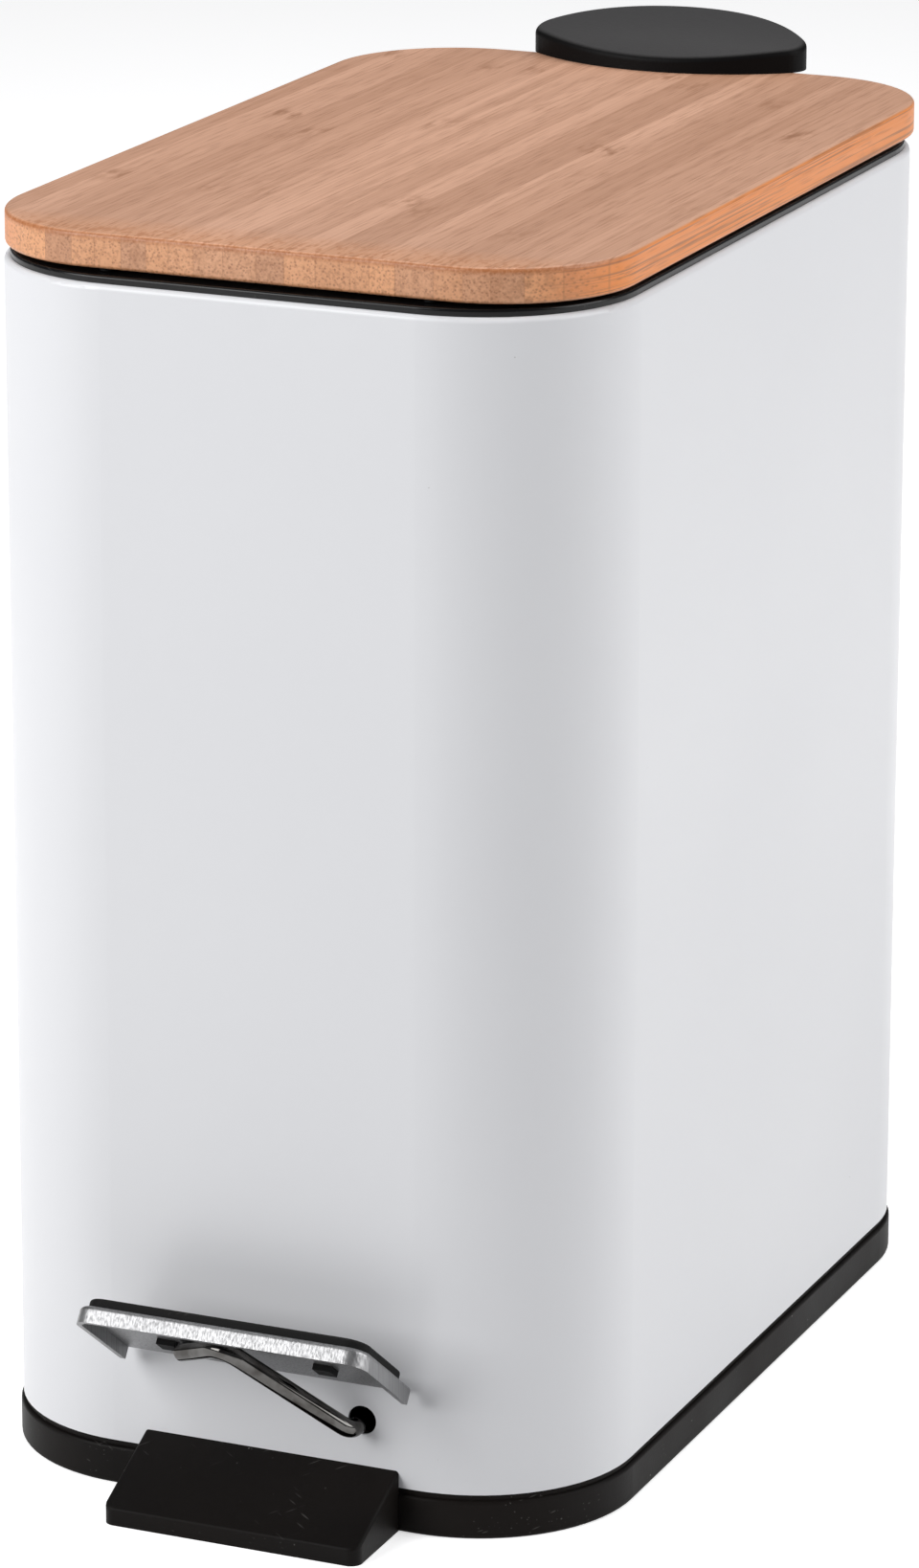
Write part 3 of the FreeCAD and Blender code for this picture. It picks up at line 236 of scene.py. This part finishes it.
def bamboo(look):
    mat, tree, shader = newFinish("bamboo", {"IOR": look["ior"]})
    coords = addNode(tree, "TexCoord").outputs
    x, y, z = splitAxes(tree, coords["Object"])
    facing = [calc(tree, "ABSOLUTE", way) for way in splitAxes(tree, coords["Normal"])]
    onEnd = remap(tree, facing[1], *look["endFacing"])
    onSide = remap(tree, facing[0], *look["sideFacing"])
    stripCells = {"W": calc(tree, "DIVIDE", x, look["stripWidth"]), "Scale": 1.0,
                  "Randomness": look["stripUneven"]}
    strips = addNode(tree, "TexVoronoi", stripCells, voronoi_dimensions="1D").outputs["Color"]
    seams = addNode(tree, "TexVoronoi", stripCells, voronoi_dimensions="1D",
                    feature="DISTANCE_TO_EDGE").outputs["Distance"]
    tone, phase, place = addNode(tree, "SeparateColor", {0: strips}).outputs
    # grain from coarse to fine, all drawn out along the strips
    streak = noise(tree, stretched(tree, look["streakScale"]), detail=3)
    grain = noise(tree, stretched(tree, look["grainScale"]), detail=4, rough=0.6)
    fibres = remap(tree, cellDistance(tree, stretched(tree, look["threadScale"])), *look["fibreRamp"])
    ground = mixColour(tree, remap(tree, tone, *look["toneRamp"]), look["pale"], look["deep"])
    ground = mixColour(tree, remap(tree, streak, *look["streakRamp"]), ground, look["deep"])
    ground = mixColour(tree, remap(tree, grain, *look["grainRamp"]), ground, look["mark"])
    # sawn ends are paler and full of pores
    paler = product(tree, onEnd, remap(tree, phase, *look["paleRamp"]))
    ground = mixColour(tree, paler, ground, look["endPale"])
    ground = mixColour(tree, onEnd, ground, look["endTint"], "MULTIPLY")
    # cut fibre ends also show where sanding has thinned the top along its front edge
    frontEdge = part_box("lid_board")[0].y
    zone = remap(tree, y, frontEdge + look["sandedFrom"], frontEdge + look["sandedFull"],
                 0.0, look["sandedMost"])
    sanded = product(tree, facing[2], zone)
    ground = mixColour(tree, product(tree, sanded, look["sandedShare"]), ground, look["sanded"])
    pores = remap(tree, noise(tree, stretched(tree, look["poreScale"])), *look["poreRamp"])
    ground = mixColour(tree, product(tree, onEnd, pores), ground, look["mark"])
    longPores = remap(tree, noise(tree, stretched(tree, look["longPoreScale"])), *look["longPoreRamp"])
    ground = mixColour(tree, product(tree, sanded, longPores), ground, look["arris"])
    # the long sides are deeper in colour and lined
    lines = remap(tree, noise(tree, stretched(tree, look["lineScale"]), detail=3), *look["lineRamp"])
    ground = mixColour(tree, product(tree, onSide, look["sideShare"]), ground, look["sideOrange"])
    ground = mixColour(tree, product(tree, onSide, lines, look["lineShare"]), ground, look["mark"])
    show = calc(tree, "ADD", product(tree, onEnd, look["fibreMoreOnEnd"]), look["fibreShare"])
    ground = mixColour(tree, product(tree, fibres, show), ground, look["fibre"])
    # growth marks: a smudge of short dark threads across the strip
    along = calc(tree, "ADD", calc(tree, "DIVIDE", y, look["markEvery"]),
                 product(tree, place, look["markShift"]))
    near = calc(tree, "ABSOLUTE", calc(tree, "SUBTRACT", calc(tree, "FRACT", along), 0.5))
    smudge = noise(tree, stretched(tree, look["smudgeScale"]), detail=3)
    marks = product(tree, remap(tree, near, *look["nearRamp"]), remap(tree, smudge, *look["smudgeRamp"]),
                    remap(tree, phase, *look["markRamp"]))
    ground = mixColour(tree, marks, ground, look["mark"])
    ground = mixColour(tree, remap(tree, seams, *look["seamRamp"]), ground, look["mark"])
    # the front arris is darker and speckled with cut fibre ends
    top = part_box("lid_board")[1].z
    above, below = ([top - depth for depth in look[key]] for key in ("arrisLow", "arrisHigh"))
    rise = product(tree, remap(tree, z, *above), remap(tree, z, *below))
    front = product(tree, remap(tree, y, *look["arrisFront"]), remap(tree, grain, *look["specklingRamp"]))
    ground = mixColour(tree, product(tree, rise, front, look["arrisShare"]), ground, look["arris"])
    tree.links.new(ground, shader.inputs["Base Color"])
    tree.links.new(remap(tree, grain, *look["glossRamp"]), shader.inputs["Roughness"])
    relief = calc(tree, "SUBTRACT", product(tree, grain, look["grainHeight"]), fibres)
    addBump(tree, shader, relief, look["bumpStrength"], look["bumpDepth"])
    return mat


# moulded plastics: fine spark texture, dust specks and thin short scratches; these values are the
# same for all of them, and each set of scratches is a row of thin dashes that all lean one way
plasticMarks = {
    "slowScale": 24.0, "dustScale": (420, 300, 420), "rareDustScale": 90.0, "rareDashScale": 60.0,
    "dashScale": (80, 850, 850), "dashLeans": ((0.0, 0.35, -0.6), (0.0, -0.3, 0.45)),
    "dustRamp": (0.1, 0.04), "rareDustRamp": (0.55, 0.65), "dashRamp": (0.16, 0.08),
    "rareDashRamp": (0.52, 0.64, 0.0, 0.35), "upRamp": (0.55, 0.95), "slowRamp": (0.3, 0.7),
    "ior": 1.48, "sparkDepth": 0.0002,
}


def mouldedPlastic(name, look, shared):
    mat, tree, shader = newFinish(name, {"IOR": shared["ior"], "Specular IOR Level": look["shine"]})
    even = stretched(tree, (1, 1, 1))
    slow = noise(tree, even, shared["slowScale"], 4)
    dust = remap(tree, cellDistance(tree, stretched(tree, shared["dustScale"])), *shared["dustRamp"])
    rareDust = remap(tree, noise(tree, even, shared["rareDustScale"]), *shared["rareDustRamp"])
    marks = product(tree, dust, rareDust)
    rareDash = remap(tree, noise(tree, even, shared["rareDashScale"], 1), *shared["rareDashRamp"])
    for lean in shared["dashLeans"]:
        dashCells = cellDistance(tree, stretched(tree, shared["dashScale"], lean))
        dashes = remap(tree, dashCells, *shared["dashRamp"])
        marks = calc(tree, "MAXIMUM", marks, product(tree, dashes, rareDash))
    tone = mixColour(tree, slow, look["dark"], look["worn"])
    # faces that look up are painted lighter: a painted sheen, strongest on the cap's top, with a little
    # dust
    upward = splitAxes(tree, addNode(tree, "TexCoord").outputs["Normal"])[2]
    sheenAndDust = remap(tree, upward, *shared["upRamp"], 0.0, look["sheenAndDust"])
    tone = mixColour(tree, sheenAndDust, tone, look["scuffAndSheen"])
    worn = mixColour(tree, product(tree, marks, look["scuffShare"]), tone, look["scuffAndSheen"])
    tree.links.new(worn, shader.inputs["Base Color"])
    gloss = remap(tree, slow, *shared["slowRamp"], *look["gloss"])
    tree.links.new(gloss, shader.inputs["Roughness"])
    spark = noise(tree, even, look["spark"])
    addBump(tree, shader, spark, look["sparkHeight"], shared["sparkDepth"])
    return mat


plasticLooks = {
    "basePlastic": {"dark": (0.0032, 0.0031, 0.0032, 1), "worn": (0.0095, 0.0072, 0.006, 1),
                    "scuffAndSheen": (0.22, 0.21, 0.20, 1), "scuffShare": 0.55, "sheenAndDust": 0.0, "gloss": (0.44, 0.58),
                    "shine": 0.09, "spark": 1600.0, "sparkHeight": 0.12},
    # the cap's large upward-face share is a painted sheen that lightens its top
    "capPlastic": {"dark": (0.0025, 0.0025, 0.0027, 1), "worn": (0.005, 0.0048, 0.005, 1),
                   "scuffAndSheen": (0.14, 0.137, 0.138, 1), "scuffShare": 0.2, "sheenAndDust": 0.34, "gloss": (0.4, 0.5),
                   "shine": 0.07, "spark": 1900.0, "sparkHeight": 0.2},
    "rimPlastic": {"dark": (0.003, 0.003, 0.0032, 1), "worn": (0.005, 0.005, 0.0055, 1),
                   "scuffAndSheen": (0.3, 0.3, 0.3, 1), "scuffShare": 0.25, "sheenAndDust": 0.0, "gloss": (0.16, 0.26),
                   "shine": 0.25, "spark": 700.0, "sparkHeight": 0.03},
    "bucketPlastic": {"dark": (0.02, 0.02, 0.021, 1), "worn": (0.03, 0.03, 0.032, 1),
                      "scuffAndSheen": (0.2, 0.2, 0.2, 1), "scuffShare": 0.25, "sheenAndDust": 0.0, "gloss": (0.4, 0.5),
                      "shine": 0.4, "spark": 1200.0, "sparkHeight": 0.15},
    "linkPlastic": {"dark": (0.70, 0.70, 0.68, 1), "worn": (0.62, 0.62, 0.60, 1),
                    "scuffAndSheen": (0.3, 0.3, 0.3, 1), "scuffShare": 0.3, "sheenAndDust": 0.0, "gloss": (0.36, 0.48),
                    "shine": 0.5, "spark": 900.0, "sparkHeight": 0.06},
    "padRubber": {"dark": (0.004, 0.004, 0.004, 1), "worn": (0.010, 0.010, 0.010, 1),
                  "scuffAndSheen": (0.2, 0.19, 0.18, 1), "scuffShare": 0.4, "sheenAndDust": 0.04, "gloss": (0.6, 0.75),
                  "shine": 0.12, "spark": 1500.0, "sparkHeight": 0.3},
}

# bright metals: polishing lines along one axis, darker streaks between them, small changes of gloss; on
# the wire the pattern is even in all directions and its darker blotches are painted dark reflections
metalLines = {"slowScale": 60.0, "streakRamp": (0.48, 0.66), "lineRamp": (0.3, 0.7)}


def polishedMetal(name, look, shared):
    mat, tree, shader = newFinish(name, {"Metallic": 1.0})
    lines = noise(tree, stretched(tree, look["lines"]), detail=3)
    slow = noise(tree, stretched(tree, (1, 1, 1)), shared["slowScale"])
    tone = mixColour(tree, slow, look["bright"], look["dull"])
    # darker streaks; on the wire these are painted dark reflections
    streaksAndReflections = remap(tree, lines, *shared["streakRamp"], 0.0, look["streakAndReflectionShare"])
    tree.links.new(mixColour(tree, streaksAndReflections, tone, look["streak"]), shader.inputs["Base Color"])
    gloss = remap(tree, lines, *shared["lineRamp"], *look["gloss"])
    tree.links.new(gloss, shader.inputs["Roughness"])
    addBump(tree, shader, lines, look["bump"], look["depth"])
    return mat


metalLooks = {
    "pedalChrome": {"bright": (0.34, 0.34, 0.344, 1), "dull": (0.28, 0.28, 0.284, 1),
                    "streak": (0.14, 0.14, 0.142, 1), "streakAndReflectionShare": 0.45, "gloss": (0.34, 0.5),
                    "lines": (2300, 1700, 25), "bump": 0.4, "depth": 0.0002},
    # the wire's dark blotches, its streak colour at a large share, are painted reflections of dark
    # surroundings
    "wireChrome": {"bright": (0.14, 0.137, 0.133, 1), "dull": (0.06, 0.057, 0.053, 1),
                   "streak": (0.02, 0.016, 0.013, 1), "streakAndReflectionShare": 0.75, "gloss": (0.04, 0.1),
                   "lines": (150, 150, 150), "bump": 0.05, "depth": 0.00008},
    "brushedSteel": {"bright": (0.62, 0.62, 0.63, 1), "dull": (0.5, 0.5, 0.51, 1),
                     "streak": (0.3, 0.3, 0.31, 1), "streakAndReflectionShare": 0.4, "gloss": (0.22, 0.38),
                     "lines": (900, 900, 120), "bump": 0.15, "depth": 0.00008},
}

finishes = {"whitePaint": whitePaint(whitePaintLook), "bamboo": bamboo(bambooLook)}
for name, look in plasticLooks.items():
    finishes[name] = mouldedPlastic(name, look, plasticMarks)
for name, look in metalLooks.items():
    finishes[name] = polishedMetal(name, look, metalLines)

finishOf = {
    "base": "basePlastic", "rod_keepers": "linkPlastic", "keeper_screws": "brushedSteel",
    "body_shell": "whitePaint", "top_rim": "rimPlastic", "inner_bucket": "bucketPlastic",
    "pedal_plate": "pedalChrome", "pedal_pad": "padRubber", "pedal_rod": "wireChrome",
    "lid_board": "bamboo", "lid_liner": "bucketPlastic", "liner_screws": "brushedSteel",
    "lid_bumpers": "padRubber", "hinge_cap": "capPlastic", "cap_screws": "brushedSteel",
    "hinge_bracket": "brushedSteel", "hinge_pin": "brushedSteel", "pin_clip": "brushedSteel",
    "tail_pin": "brushedSteel", "pull_link": "linkPlastic", "rear_spine": "basePlastic",
    "spine_screws": "brushedSteel", "bracket_screws": "brushedSteel",
}
for nodeName, finishName in finishOf.items():
    mesh = nodes[nodeName].data
    mesh.materials.clear()
    mesh.materials.append(finishes[finishName])
print("finishes set on", len(finishOf), "nodes")
